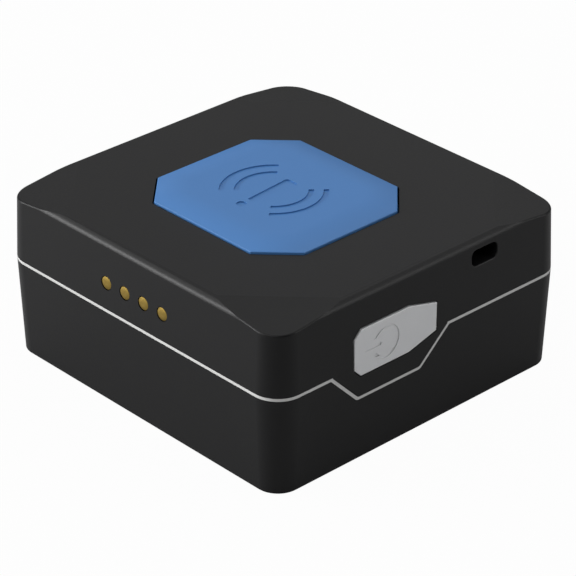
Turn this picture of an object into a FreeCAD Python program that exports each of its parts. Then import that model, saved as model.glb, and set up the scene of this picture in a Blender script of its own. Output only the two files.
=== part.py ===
import FreeCAD, Part
import math
import os

import Sketcher
from FreeCAD import Placement, Rotation, Vector

# Pocket GPS tracker: a small square box with a big alarm button on top, a power key in one side,
# four charging contacts in another, and a lanyard passage round one corner.
# Millimetres. The origin is at the middle of the underside, +Z is up, -Y faces the charging
# contacts and +X faces the power key. The driving sizes:
SIZES = {
    # case
    "case_width": 44.0,
    "case_depth": 42.9,
    "case_height": 20.0,
    "upper_height": 8.35,
    "corner_radius": 3.2,
    "upper_draft": 2.4,
    "lower_draft": 2.3,
    "top_edge_radius": 0.92,
    "bottom_edge_radius": 0.15,
    "facet_reach": 22.77,
    "facet_angle": 9.0,
    "side_wall": 1.6,
    "top_wall": 1.8,
    "floor_wall": 1.5,
    # seam seal and its step round the power key
    "seal_thickness": 0.35,
    "step_depth": 3.95,
    "step_front": -13.72,
    "step_front_run": 3.9,
    "step_bottom": 9.2,
    "step_back_run": 4.1,
    # screws and the pillars that they join
    "screw_radius": 0.8,
    "screw_hold": 2.4,
    "screw_head_radius": 1.5,
    "screw_head_height": 1.0,
    "screw_recess": 4.4,
    "screw_clearance": 0.12,
    "drive_width": 1.1,
    "drive_corner": 0.3,
    "drive_depth": 0.55,
    "pilot_spare": 0.3,
    "pillar_radius": 2.5,
    "pillar_inset": 2.3,
    # alarm button
    "alarm_width": 23.4,
    "alarm_depth": 21.7,
    "alarm_corner": 4.0,
    "alarm_centre": -1.0,
    "alarm_proud": 0.2,
    "alarm_edge_radius": 0.1,
    "alarm_crown_width": 2.4,
    "alarm_crown_drop": 0.5,
    "alarm_travel": 0.5,
    "alarm_gap": 0.2,
    "flange_lip": 0.8,
    "flange_thickness": 0.7,
    "alarm_post_radius": 1.5,
    "seal_ring": 0.3,
    "contact_gap": 0.02,
    "symbol_shift_across": -0.2,
    "symbol_shift_back": -0.18,
    "symbol_outer_radius": 5.7,
    "symbol_inner_radius": 4.05,
    "symbol_half_angle": 48.0,
    "symbol_groove": 0.6,
    "symbol_depth": 0.12,
    "mark_top": 2.85,
    "mark_bottom": 3.5,
    "mark_wide": 0.95,
    "mark_narrow": 0.35,
    "dot_radius": 0.57,
    "dot_drop": 4.75,
    # power key
    "key_length": 12.05,
    "key_height": 5.5,
    "key_gap": 0.12,
    "key_centre": -4.43,
    "key_lift": 1.53,
    "key_nose_cut": 0.95,
    "key_taper_length": 4.1,
    "key_taper_drop": 1.08,
    "key_travel": 0.4,
    "key_nub_radius": 0.9,
    "key_nub_length": 0.55,
    "key_flange": 0.55,
    "power_centre": -5.95,
    "power_radius": 1.8,
    "power_groove": 0.35,
    "power_gap_angle": 28.0,
    "power_bar_start": 0.65,
    "power_bar_length": 2.3,
    # circuit board
    "board_thickness": 1.0,
    "board_drop": 0.65,
    "board_margin": 0.7,
    "board_corner": 1.4,
    "key_notch_depth": 0.85,
    "key_notch_clearance": 0.4,
    "lead_notch_depth": 1.2,
    "lead_notch_width": 4.4,
    # tactile switches
    "tact_width": 5.2,
    "tact_height": 1.9,
    "tact_plunger_radius": 1.2,
    "tact_plunger_rise": 3.0,
    "tact_floor": 0.5,
    "tact_corner": 0.5,
    "edge_switch_length": 3.2,
    "edge_switch_width": 4.6,
    "edge_switch_height": 2.1,
    "edge_switch_back": 0.8,
    "edge_plunger_radius": 0.6,
    "edge_plunger_stroke": 0.68,
    "plunger_clearance": 0.05,
    "stroke_spare": 0.1,
    # satellite and mobile radio
    "patch_width": 13.0,
    "patch_corner": 0.6,
    "patch_headroom": 0.7,
    "patch_back_margin": 4.05,
    "electrode_margin": 1.2,
    "electrode_corner": 0.4,
    "electrode_thickness": 0.1,
    "feed_radius": 0.4,
    "feed_offset": 1.5,
    "feed_head_radius": 0.8,
    "feed_head_height": 0.15,
    "modem_width": 11.0,
    "modem_depth": 12.0,
    "modem_thickness": 0.8,
    "modem_corner": 0.4,
    "shield_height": 2.4,
    "shield_sheet": 0.2,
    "shield_gap": 0.3,
    "shield_corner": 0.6,
    "shield_back_margin": 4.45,
    "radio_width": 8.0,
    "radio_depth": 10.0,
    "radio_height": 1.8,
    "radio_corner": 0.3,
    "radio_side_margin": 3.5,
    "radio_front_margin": 6.55,
    "antenna_length": 26.0,
    "antenna_height": 4.4,
    "antenna_sheet": 0.2,
    # chips: height, then each one's width, depth and place from the middle of the board
    "chip_height": 0.9,
    "processor_width": 4.0,
    "processor_across": -3.0,
    "processor_back": -8.9,
    "charger_width": 1.6,
    "charger_depth": 3.0,
    "charger_across": 1.0,
    "memory_width": 4.0,
    "memory_depth": 4.0,
    "memory_back": 5.2,
    "sensor_width": 3.0,
    "sensor_depth": 1.6,
    "sensor_across": -2.6,
    "sensor_back": -12.8,
    # vibration motor
    "motor_radius": 4.0,
    "motor_height": 2.7,
    "motor_sheet": 0.25,
    "motor_side_margin": 6.9,
    "motor_front_margin": 5.35,
    "motor_shaft_radius": 0.4,
    "rotor_hub_radius": 1.2,
    "rotor_gap": 0.3,
    "rotor_bore_gap": 0.05,
    "rotor_thickness": 1.3,
    # card holder under the board
    "card_length": 12.3,
    "card_width": 8.8,
    "card_thickness": 0.67,
    "card_corner_cut": 1.6,
    "holder_wall": 0.9,
    "holder_height": 1.35,
    "holder_sheet": 0.25,
    "card_gap": 0.1,
    # battery
    "battery_pillar_gap": 0.6,
    "battery_front_gap": 2.55,
    "battery_back_gap": 6.35,
    "battery_headroom": 0.45,
    "battery_edge": 1.5,
    "pad_thickness": 0.3,
    "pad_side_inset": 3.0,
    "pad_end_inset": 2.0,
    "pad_corner": 1.0,
    "guard_thickness": 0.8,
    "guard_width": 20.0,
    "guard_height": 4.6,
    "lead_radius": 0.45,
    "lead_pitch": 1.25,
    "lead_bend": 1.3,
    "lead_wall_gap": 0.35,
    "plug_width": 4.2,
    "plug_length": 3.0,
    "plug_height": 1.8,
    "plug_edge_gap": 2.05,
    "plug_show": 0.8,
    "plug_clearance": 0.05,
    "socket_width": 6.0,
    "socket_side_gap": 0.6,
    "socket_length": 4.4,
    "socket_height": 3.0,
    # charging contacts
    "contact_pitch": 3.0,
    "contact_shift": -0.15,
    "contact_lift": 3.31,
    "contact_radius": 0.74,
    "contact_proud": 0.02,
    "contact_tail": 3.4,
    "contact_hole_gap": 0.08,
    "collar_radius": 1.1,
    "collar_thickness": 0.5,
    "carrier_length": 21.0,
    "carrier_height": 4.4,
    "carrier_thickness": 1.6,
    "magnet_radius": 1.7,
    "magnet_length": 1.2,
    "magnet_offset": 8.0,
    "spring_sheet": 0.2,
    "spring_width": 1.2,
    "spring_foot": 1.8,
    "spring_reach": 0.6,
    # lanyard passage
    "lanyard_height": 1.9,
    "lanyard_width": 3.9,
    "lanyard_lift": 6.1,
    "lanyard_bend": 12.5,
    "lanyard_round": 0.7,
    "lanyard_wall": 0.8,
}
CONTACTS = 4
# Cutting tools end this far past the face that they open, or well clear of the whole case
PAST = 1.0
FAR = 60.0
# Forms that are joined run this far into each other
OVERLAP = 0.2


class Size:
    """A length or an angle, held as its number and as the spreadsheet expression that gives it."""

    def __init__(self, value, text):
        self.value = value
        self.text = text

    def __add__(self, other):
        other = as_size(other)
        return Size(self.value + other.value, f"({self.text} + {other.text})")

    def __sub__(self, other):
        other = as_size(other)
        return Size(self.value - other.value, f"({self.text} - {other.text})")

    def __mul__(self, other):
        other = as_size(other)
        return Size(self.value * other.value, f"({self.text} * {other.text})")

    def __truediv__(self, other):
        other = as_size(other)
        return Size(self.value / other.value, f"({self.text} / {other.text})")

    def __neg__(self):
        return Size(-self.value, f"(0 - {self.text})")

    def __rsub__(self, other):
        return as_size(other) - self


def as_size(value):
    return value if isinstance(value, Size) else Size(float(value), f"({float(value)!r})")


def root(size):
    return Size(math.sqrt(size.value), f"sqrt({size.text})")


def tangent(angle):
    return Size(math.tan(math.radians(angle.value)), f"tan({angle.text})")


doc = FreeCAD.newDocument("gps_tracker")
sheet = doc.addObject("Spreadsheet::Sheet", "Sizes")
for row, (alias, number) in enumerate(SIZES.items(), start=1):
    sheet.set(f"A{row}", alias)
    sheet.set(f"B{row}", str(number))
    sheet.setAlias(f"B{row}", alias)
doc.recompute()


def size(alias):
    return Size(float(SIZES[alias]), f"Sizes.{alias}")


def bind(item, path, value):
    item.setExpression(path, as_size(value).text)


def place(item, x, y, z):
    """Put an object's base point at x, y, z, bound to the sheet."""
    start = [as_size(value) for value in (x, y, z)]
    item.Placement = Placement(Vector(*[value.value for value in start]), item.Placement.Rotation)
    for axis, value in zip("xyz", start):
        item.setExpression(f".Placement.Base.{axis}", value.text)


# Helpers: primitives, booleans and sketched bodies
def box(name, x, y, z):
    """A block between the limits of three pairs."""
    item = doc.addObject("Part::Box", name)
    for path, (low, high) in zip(("Length", "Width", "Height"), (x, y, z)):
        bind(item, path, as_size(high) - low)
    place(item, x[0], y[0], z[0])
    return item


def centred(middle, length):
    half = as_size(length) / 2
    return as_size(middle) - half, as_size(middle) + half


def cylinder(name, radius, x, y, z, axis="z", sweep=None, turn=0):
    """A round bar whose limits along its own axis are a pair, and whose other two places are single."""
    item = doc.addObject("Part::Cylinder", name)
    bind(item, "Radius", radius)
    low, high = {"x": x, "y": y, "z": z}[axis]
    bind(item, "Height", as_size(high) - low)
    if sweep is not None:
        bind(item, "Angle", sweep)
    spin = Rotation(Vector(0, 0, 1), turn)
    tilt = {"z": Rotation(), "x": Rotation(Vector(0, 1, 0), 90), "y": Rotation(Vector(1, 0, 0), -90)}[axis]
    item.Placement = Placement(Vector(), tilt * spin)
    place(item, low if axis == "x" else x, low if axis == "y" else y, low if axis == "z" else z)
    return item


def boolean(kind, name, *parts):
    if kind == "Cut":
        item = doc.addObject("Part::Cut", name)
        item.Base = parts[0]
        item.Tool = parts[1] if len(parts) == 2 else boolean("MultiFuse", name + "_tools", *parts[1:])
        return item
    item = doc.addObject("Part::" + kind, name)
    item.Shapes = list(parts)
    return item


def cut(name, base, *tools):
    return boolean("Cut", name, base, *tools)


def fuse(name, *parts):
    return boolean("MultiFuse", name, *parts)


def common(name, *parts):
    return boolean("MultiCommon", name, *parts)


def new_sketch(body, name, role):
    sketch = body.newObject("Sketcher::SketchObject", name)
    plane = [item for item in body.Origin.OriginFeatures if item.Role == role][0]
    sketch.AttachmentSupport = [(plane, "")]
    sketch.MapMode = "FlatFace"
    return sketch


def hold(sketch, kind, geometry, point, value):
    """Tie one coordinate of a sketch point to the sheet, measured from the sketch's origin."""
    value = as_size(value)
    index = sketch.addConstraint(Sketcher.Constraint(kind, -1, 1, geometry, point, value.value))
    sketch.setExpression(f"Constraints[{index}]", value.text)


def polygon(sketch, points):
    spots = [Vector(as_size(x).value, as_size(y).value, 0) for x, y in points]
    count = len(points)
    for index in range(count):
        sketch.addGeometry(Part.LineSegment(spots[index], spots[(index + 1) % count]))
    for index in range(count):
        sketch.addConstraint(Sketcher.Constraint("Coincident", index, 2, (index + 1) % count, 1))
    for index, (x, y) in enumerate(points):
        hold(sketch, "DistanceX", index, 1, x)
        hold(sketch, "DistanceY", index, 1, y)


def rounded_rectangle(sketch, half_x, half_y, radius):
    """Four straight sides joined by four arcs, centred on the sketch's origin."""
    inner = (half_x - radius, half_y - radius)
    sides = ((1, 1), (-1, 1), (-1, -1), (1, -1))
    bend = radius.value
    for quarter, (side_x, side_y) in enumerate(sides):
        centre = Vector(side_x * inner[0].value, side_y * inner[1].value, 0)
        circle = Part.Circle(centre, Vector(0, 0, 1), bend)
        start = math.pi / 2 * quarter
        sketch.addGeometry(Part.ArcOfCircle(circle, start, start + math.pi / 2))
    for quarter in range(4):
        first = sketch.Geometry[quarter].EndPoint
        last = sketch.Geometry[(quarter + 1) % 4].StartPoint
        sketch.addGeometry(Part.LineSegment(first, last))
    for quarter in range(4):
        sketch.addConstraint(Sketcher.Constraint("Tangent", quarter, 2, 4 + quarter, 1))
        sketch.addConstraint(Sketcher.Constraint("Tangent", 4 + quarter, 2, (quarter + 1) % 4, 1))
    for quarter, (side_x, side_y) in enumerate(sides):
        hold(sketch, "DistanceX", quarter, 3, inner[0] * side_x)
        hold(sketch, "DistanceY", quarter, 3, inner[1] * side_y)
        index = sketch.addConstraint(Sketcher.Constraint("Radius", quarter, bend))
        sketch.setExpression(f"Constraints[{index}]", radius.text)


def pad(body, sketch, name, length, draft=None, downwards=False, middle=False):
    feature = body.newObject("PartDesign::Pad", name)
    feature.Profile = sketch
    bind(feature, "Length", length)
    feature.Reversed = downwards
    feature.Midplane = middle
    if draft is not None:
        bind(feature, "TaperAngle", -draft)
    body.Tip = feature
    return feature


def prism(name, role, points, start, length):
    """A straight-sided body: a polygon on an origin plane, pushed out from start by length."""
    body = doc.addObject("PartDesign::Body", name)
    sketch = new_sketch(body, name + "_outline", role)
    polygon(sketch, points)
    backwards = role == "XZ_Plane"
    pad(body, sketch, name + "_pad", length, downwards=backwards)
    start = as_size(start)
    place(body, *{"XY_Plane": (0, 0, start), "XZ_Plane": (0, start, 0), "YZ_Plane": (start, 0, 0)}[role])
    return body


def rounded_block(name, width, depth, radius, z, x=0, y=0):
    body = doc.addObject("PartDesign::Body", name)
    sketch = new_sketch(body, name + "_outline", "XY_Plane")
    rounded_rectangle(sketch, as_size(width) / 2, as_size(depth) / 2, as_size(radius))
    pad(body, sketch, name + "_pad", as_size(z[1]) - z[0])
    place(body, x, y, z[0])
    return body


def dress(body, kind, name, value, pick):
    """Round or bevel the edges of a body's last feature that pick accepts."""
    doc.recompute()
    base = body.Tip
    edges = [f"Edge{index}" for index, edge in enumerate(base.Shape.Edges, start=1) if pick(edge)]
    feature = body.newObject("PartDesign::" + kind, name)
    feature.Base = (base, edges)
    bind(feature, "Radius" if kind == "Fillet" else "Size", value)
    body.Tip = feature
    return feature


def at_height(level):
    return lambda edge: all(abs(vertex.Z - level.value) < 1e-4 for vertex in edge.Vertexes)


def grown_cut(along, across, grow):
    """How far a sloped corner cut runs along its side once the outline has grown outwards by grow."""
    slope = root(along * along + across * across)
    return along + grow * (1 - (slope - along) / across)


def octagon(width, depth, corner, grow=0, y=0):
    """Corner points of a rectangle with cut corners, grown outwards by the same amount on every side."""
    grow = as_size(grow)
    half_x = as_size(width) / 2 + grow
    half_y = as_size(depth) / 2 + grow
    trim = grown_cut(corner, corner, grow)
    y = as_size(y)
    return [
        (half_x, y - half_y + trim), (half_x, y + half_y - trim),
        (half_x - trim, y + half_y), (trim - half_x, y + half_y),
        (-half_x, y + half_y - trim), (-half_x, y - half_y + trim),
        (trim - half_x, y - half_y), (half_x - trim, y - half_y),
    ]


NODES = {}


def node(name, item):
    item.Label = name
    NODES[name] = item
    return item


# Levels and half sizes that several pieces share
half_width = size("case_width") / 2
half_depth = size("case_depth") / 2
top = size("case_height")
seam = top - size("upper_height")
inner_x = half_width - size("side_wall")
inner_y = half_depth - size("side_wall")
ceiling = top - size("top_wall")
floor = size("floor_wall")
board_bottom = seam - size("board_drop")
board_top = board_bottom + size("board_thickness")
board_x = inner_x - size("board_margin")
board_y = inner_y - size("board_margin")


# Case: one tapered outer form, parted along the stepped seam
def build_outer_form():
    body = doc.addObject("PartDesign::Body", "outer_form")
    upper = new_sketch(body, "upper_outline", "XY_Plane")
    rounded_rectangle(upper, half_width, half_depth, size("corner_radius"))
    pad(body, upper, "upper_block", top - seam, draft=size("upper_draft"))
    dress(body, "Fillet", "top_edge", size("top_edge_radius"), at_height(top - seam))
    lower = new_sketch(body, "lower_outline", "XY_Plane")
    rounded_rectangle(lower, half_width, half_depth, size("corner_radius"))
    pad(body, lower, "lower_block", seam, draft=size("lower_draft"), downwards=True)
    dress(body, "Fillet", "bottom_edge", size("bottom_edge_radius"), at_height(-seam))
    place(body, 0, 0, seam)
    return body


def build_facets():
    """Four sloping planes that trim the top's corners, hinged on creases square to the diagonals."""
    reach = size("facet_reach")
    slope = tangent(size("facet_angle"))
    far = half_width + half_depth
    peak = top + slope * reach
    points = [(0, peak), (far, top - slope * (far - reach)), (far, peak)]
    facets = []
    for turn in (45, 135, 225, 315):
        body = doc.addObject("PartDesign::Body", f"facet_{turn}")
        sketch = new_sketch(body, f"facet_outline_{turn}", "XZ_Plane")
        polygon(sketch, points)
        pad(body, sketch, f"facet_pad_{turn}", FAR, middle=True)
        body.Placement = Placement(Vector(), Rotation(Vector(0, 0, 1), turn))
        facets.append(body)
    return facets


def step_outline(shift, ceiling_z):
    """The step's section along Y and Z; shift moves its seam line up (or down) squarely."""
    depth = size("step_depth")
    front = size("step_front")
    dip_start = front + size("step_front_run")
    dip_end = dip_start + size("step_bottom")
    back = dip_end + size("step_back_run")
    lean = []
    for run in (size("step_front_run"), size("step_back_run")):
        lean.append((root(run * run + depth * depth) - run) / depth * shift)
    level = seam + shift
    return [
        (front + lean[0], level), (dip_start + lean[0], level - depth),
        (dip_end - lean[1], level - depth), (back - lean[1], level),
        (back - lean[1], ceiling_z), (front + lean[0], ceiling_z),
    ]


outer = cut("outer_case_form", build_outer_form(), *build_facets())
half_seal = size("seal_thickness") / 2
step_start = inner_x - PAST
above = fuse(
    "above_seam",
    box("above_block", (-FAR, FAR), (-FAR, FAR), (seam + half_seal, seam + FAR)),
    prism("step_tongue", "YZ_Plane", step_outline(half_seal, seam + PAST), step_start, FAR),
)
below = cut(
    "below_seam",
    box("below_block", (-FAR, FAR), (-FAR, FAR), (-FAR, seam - half_seal)),
    prism("step_recess", "YZ_Plane", step_outline(-half_seal, seam + PAST), step_start, FAR),
)
cavity = rounded_block(
    "cavity", inner_x * 2, inner_y * 2, size("corner_radius") - size("side_wall"), (floor, ceiling))
shell = cut("case_walls", outer, cavity)
node("seam_seal", cut("seam_seal", shell, above, below))

# Screws stand in pillars of the lower case, pass the board and bite into bosses of the upper case
pillar_x = inner_x - size("pillar_inset")
pillar_y = inner_y - size("pillar_inset")
corners = [(pillar_x, pillar_y), (-pillar_x, pillar_y), (-pillar_x, -pillar_y), (pillar_x, -pillar_y)]
head_base = size("screw_recess")
screw_tip = board_top + size("screw_hold")


def at_corners(name, radius, z):
    return [cylinder(f"{name}_{index}", radius, x, y, z) for index, (x, y) in enumerate(corners, start=1)]


screws = []
for index, (x, y) in enumerate(corners, start=1):
    head = cylinder(f"head_{index}", size("screw_head_radius"), x, y,
                    (head_base - size("screw_head_height"), head_base))
    thread = cylinder(f"thread_{index}", size("screw_radius"), x, y, (head_base - OVERLAP, screw_tip))
    drive_outline = octagon(size("drive_width"), size("drive_width"), size("drive_corner"))
    drive = prism(f"drive_{index}", "XY_Plane", drive_outline, 0, size("drive_depth"))
    place(drive, x, y, head_base - size("screw_head_height"))
    screws.append(cut(f"screw_{index}", fuse(f"screw_blank_{index}", head, thread), drive))
node("case_screws", fuse("case_screws", *screws))

lower_shell = common("lower_shell", shell, below)
lower_solid = fuse("lower_solid", lower_shell,
                   *at_corners("pillar", size("pillar_radius"), (floor - OVERLAP, board_bottom)))
recess_radius = size("screw_head_radius") + size("screw_clearance")
node("lower_case", cut(
    "lower_case", lower_solid,
    *at_corners("recess", recess_radius, (-PAST, head_base)),
    *at_corners("pass_hole", size("screw_radius") + size("screw_clearance"), (head_base - PAST, FAR))))


# Lanyard passage: an arc round the corner of the two walls that it leaves through
def ring(name, inside, outside, z):
    return cut(name, cylinder(name + "_outside", outside, half_width, half_depth, z),
               cylinder(name + "_inside", inside, half_width, half_depth, z))


lanyard_level = seam + size("lanyard_lift")
lanyard_z = centred(lanyard_level, size("lanyard_height"))
lanyard_in = size("lanyard_bend") - size("lanyard_width") / 2
lanyard_out = size("lanyard_bend") + size("lanyard_width") / 2
passage_blank = ring("passage_blank", lanyard_in, lanyard_out, lanyard_z)
doc.recompute()
passage = doc.addObject("Part::Fillet", "passage")
passage.Base = passage_blank
passage_round = size("lanyard_round").value
passage.Edges = [
    (index, passage_round, passage_round)
    for index, edge in enumerate(passage_blank.Shape.Edges, start=1)
    if edge.isClosed()
]
duct = common("duct", outer, ring("duct_ring", lanyard_in - size("lanyard_wall"),
                                  lanyard_out + size("lanyard_wall"),
                                  (lanyard_z[0] - size("lanyard_wall"), ceiling + OVERLAP)))

# Alarm button, its opening and its seal
alarm = (size("alarm_width"), size("alarm_depth"), size("alarm_corner"))
alarm_y = size("alarm_centre")
alarm_edge = top + size("alarm_proud")
alarm_top = alarm_edge + size("alarm_crown_drop")
flange_top = ceiling - size("seal_ring")
flange_bottom = flange_top - size("flange_thickness")
tact_plunger_top = board_top + size("tact_plunger_rise")
alarm_opening = prism("alarm_opening", "XY_Plane", octagon(*alarm, grow=size("alarm_gap"), y=alarm_y),
                      ceiling - PAST, FAR)
symbol_x = size("symbol_shift_across")
symbol_y = alarm_y + size("symbol_shift_back")
symbol_z = (alarm_top - size("symbol_depth"), alarm_top + PAST)


def arc_groove(name, radius, side):
    """One arc of the symbol: a ring sector centred on the side it faces, at 0 or 180 degrees."""
    half = size("symbol_groove") / 2
    sweep = size("symbol_half_angle") * 2
    tools = []
    for part, reach in (("outside", radius + half), ("inside", radius - half)):
        tool = cylinder(f"{name}_{part}", reach, symbol_x, symbol_y, symbol_z, sweep=sweep)
        tool.Placement.Rotation = Rotation(Vector(0, 0, 1), side - size("symbol_half_angle").value)
        tools.append(tool)
    return cut(name, *tools)


def build_alarm_button():
    body = doc.addObject("PartDesign::Body", "alarm_cap")
    sketch = new_sketch(body, "alarm_outline", "XY_Plane")
    polygon(sketch, octagon(*alarm, y=alarm_y))
    base = flange_top - OVERLAP
    pad(body, sketch, "alarm_block", alarm_top - base)
    crown = dress(body, "Chamfer", "alarm_crown", size("alarm_crown_drop"), at_height(alarm_top - base))
    crown.ChamferType = "Two distances"
    bind(crown, "Size2", size("alarm_crown_width"))
    dress(body, "Fillet", "alarm_edge", size("alarm_edge_radius"), at_height(alarm_edge - base))
    place(body, 0, 0, base)
    flange = prism("alarm_flange", "XY_Plane", octagon(*alarm, grow=size("flange_lip"), y=alarm_y),
                   flange_bottom, size("flange_thickness"))
    post_end = tact_plunger_top + size("contact_gap")
    post = cylinder("alarm_post", size("alarm_post_radius"), 0, alarm_y, (post_end, flange_top))
    grooves = []
    for side in (0, 180):
        grooves.append(arc_groove(f"outer_arc_{side}", size("symbol_outer_radius"), side))
        grooves.append(arc_groove(f"inner_arc_{side}", size("symbol_inner_radius"), side))
    mark = prism("mark_stroke", "XY_Plane", [
        (symbol_x - size("mark_narrow"), symbol_y - size("mark_bottom")),
        (symbol_x + size("mark_narrow"), symbol_y - size("mark_bottom")),
        (symbol_x + size("mark_wide"), symbol_y + size("mark_top") - size("mark_wide") / 2),
        (symbol_x + size("mark_wide") / 2, symbol_y + size("mark_top")),
        (symbol_x - size("mark_wide") / 2, symbol_y + size("mark_top")),
        (symbol_x - size("mark_wide"), symbol_y + size("mark_top") - size("mark_wide") / 2),
    ], symbol_z[0], PAST)
    dot = cylinder("mark_dot", size("dot_radius"), symbol_x, symbol_y - size("dot_drop"), symbol_z)
    return cut("sos_button", fuse("alarm_blank", body, flange, post), mark, dot, *grooves)


node("sos_button", build_alarm_button())
node("sos_button_seal", cut(
    "sos_button_seal",
    prism("seal_outline", "XY_Plane", octagon(*alarm, grow=size("flange_lip"), y=alarm_y),
          flange_top, size("seal_ring")),
    prism("seal_window", "XY_Plane", octagon(*alarm, grow=size("alarm_gap"), y=alarm_y),
          flange_top - PAST, FAR)))


# Power key: a long octagon with a blunt front and a tapered back, sliding in the side wall
def key_outline(grow=0):
    grow = as_size(grow)
    half = size("key_height") / 2 + grow
    front = size("key_centre") - size("key_length") / 2 - grow
    back = size("key_centre") + size("key_length") / 2 + grow
    level = seam + size("key_lift")
    nose = grown_cut(size("key_nose_cut"), size("key_nose_cut"), grow)
    drop = grown_cut(size("key_taper_drop"), size("key_taper_length"), grow)
    taper = grown_cut(size("key_taper_length"), size("key_taper_drop"), grow)
    return [
        (front + nose, level - half), (back - taper, level - half), (back, level - half + drop),
        (back, level + half - drop), (back - taper, level + half), (front + nose, level + half),
        (front, level + half - nose), (front, level - half + nose),
    ]


key_level = seam + size("key_lift")
key_flange_face = inner_x - size("seal_ring")
key_back = key_flange_face - size("key_flange")
nub_end = key_back - size("key_nub_length")
plunger_face = nub_end - size("contact_gap")
key_opening = prism("key_opening", "YZ_Plane", key_outline(size("key_gap")), inner_x - PAST, FAR)
power_y = size("power_centre")
power_x = (half_width - size("symbol_depth"), half_width + PAST)


def build_side_button():
    plate = prism("key_plate", "YZ_Plane", key_outline(), key_back, half_width - key_back)
    flange = prism("key_rim", "YZ_Plane", key_outline(size("flange_lip")), key_back, size("key_flange"))
    nub = cylinder("key_nub", size("key_nub_radius"), (nub_end, key_back + OVERLAP),
                   size("key_centre"), key_level, axis="x")
    half = size("power_groove") / 2
    gap_end = power_y - size("power_radius") * 2
    gap_half = tangent(size("power_gap_angle")) * (power_y - gap_end)
    circle = cut(
        "power_circle",
        cylinder("power_outside", size("power_radius") + half, power_x, power_y, key_level, axis="x"),
        cylinder("power_inside", size("power_radius") - half, power_x, power_y, key_level, axis="x"),
        prism("power_gap", "YZ_Plane", [
            (power_y, key_level), (gap_end, key_level + gap_half), (gap_end, key_level - gap_half),
        ], power_x[0] - PAST, FAR))
    bar_end = power_y - size("power_bar_start")
    bar = box("power_bar", power_x, (bar_end - size("power_bar_length"), bar_end),
              centred(key_level, size("power_groove")))
    return cut("side_button", fuse("key_blank", plate, flange, nub), circle, bar)


node("side_button", build_side_button())
node("side_button_seal", cut(
    "side_button_seal",
    prism("key_seal_outline", "YZ_Plane", key_outline(size("flange_lip")), key_flange_face,
          size("seal_ring")),
    prism("key_seal_window", "YZ_Plane", key_outline(size("key_gap")), key_flange_face - PAST, FAR)))

# Charging contacts in the front wall, in a carrier with a magnet at each end
contact_z = seam + size("contact_lift")
contact_middle = size("contact_shift")
contact_xs = [contact_middle + size("contact_pitch") * (index - (CONTACTS - 1) / 2)
              for index in range(CONTACTS)]
wall_face = half_depth - tangent(size("upper_draft")) * size("contact_lift")
contact_front = -(wall_face + size("contact_proud"))
collar_back = size("collar_thickness") - inner_y
tail_end = contact_front + size("contact_tail")
hole = size("contact_radius") + size("contact_hole_gap")
contact_holes = [
    cylinder(f"contact_hole_{index}", hole, x, (-FAR, PAST - inner_y), contact_z, axis="y")
    for index, x in enumerate(contact_xs, start=1)
]
pins = []
for index, x in enumerate(contact_xs, start=1):
    stem = cylinder(f"stem_{index}", size("contact_radius"), x, (contact_front, tail_end), contact_z,
                    axis="y")
    collar = cylinder(f"collar_{index}", size("collar_radius"), x, (-inner_y, collar_back), contact_z,
                      axis="y")
    pins.append(fuse(f"contact_{index}", stem, collar))
node("charge_contacts", fuse("charge_contacts", *pins))
carrier_y = (-inner_y, size("carrier_thickness") - inner_y)
magnet_y = (-inner_y, size("magnet_length") - inner_y)
magnet_xs = (contact_middle + size("magnet_offset"), contact_middle - size("magnet_offset"))
carrier_tools = []
for index, x in enumerate(contact_xs, start=1):
    carrier_tools.append(cylinder(f"stem_hole_{index}", hole, x, (-FAR, 0), contact_z, axis="y"))
    carrier_tools.append(cylinder(f"collar_hole_{index}", size("collar_radius") + size("contact_hole_gap"),
                                  x, (-FAR, collar_back), contact_z, axis="y"))
magnets = []
for index, x in enumerate(magnet_xs, start=1):
    carrier_tools.append(cylinder(f"magnet_hole_{index}", size("magnet_radius") + size("contact_hole_gap"),
                                  x, (-FAR, magnet_y[1]), contact_z, axis="y"))
    magnets.append(cylinder(f"magnet_{index}", size("magnet_radius"), x, magnet_y, contact_z, axis="y"))
carrier_block = box("carrier_block", centred(contact_middle, size("carrier_length")), carrier_y,
                    centred(contact_z, size("carrier_height")))
node("contact_carrier", cut("contact_carrier", carrier_block, *carrier_tools))
node("charge_magnets", fuse("charge_magnets", *magnets))
springs = []
spring_y = tail_end + size("contact_gap")
for index, x in enumerate(contact_xs, start=1):
    width = centred(x, size("spring_width"))
    leaf = box(f"leaf_{index}", width, (spring_y, spring_y + size("spring_sheet")),
               (board_top, contact_z + size("spring_reach")))
    foot = box(f"foot_{index}", width, (spring_y, spring_y + size("spring_foot")),
               (board_top, board_top + size("spring_sheet")))
    springs.append(fuse(f"spring_{index}", leaf, foot))
node("contact_springs", fuse("contact_springs", *springs))

# Upper case with everything that opens in it
upper_shell = common("upper_shell", shell, above)
bosses = common("bosses", outer, fuse("boss_bars", *at_corners("boss", size("pillar_radius"),
                                                                (board_top, ceiling + OVERLAP))))
upper_solid = fuse("upper_solid", upper_shell, bosses, duct)
pilots = at_corners("pilot", size("screw_radius"), (board_top - PAST, screw_tip + size("pilot_spare")))
openings = [alarm_opening, key_opening, passage, *contact_holes, *pilots]
node("upper_case", cut("upper_case", upper_solid, *openings))

# Circuit board, clamped between pillars and bosses
board_blank = rounded_block("board_blank", board_x * 2, board_y * 2, size("board_corner"),
                            (board_bottom, board_top))
notch_half = size("key_length") / 2 + size("flange_lip") + size("key_notch_clearance")
board_z = (board_bottom - PAST, board_top + PAST)
key_notch = box("key_notch", (board_x - size("key_notch_depth"), board_x + PAST),
                (size("key_centre") - notch_half, size("key_centre") + notch_half), board_z)
lead_notch = box("lead_notch", centred(0, size("lead_notch_width")),
                 (board_y - size("lead_notch_depth"), board_y + PAST), board_z)
node("main_board", cut(
    "main_board", board_blank, key_notch, lead_notch,
    *at_corners("board_hole", size("screw_radius") + size("screw_clearance"), board_z)))

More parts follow.
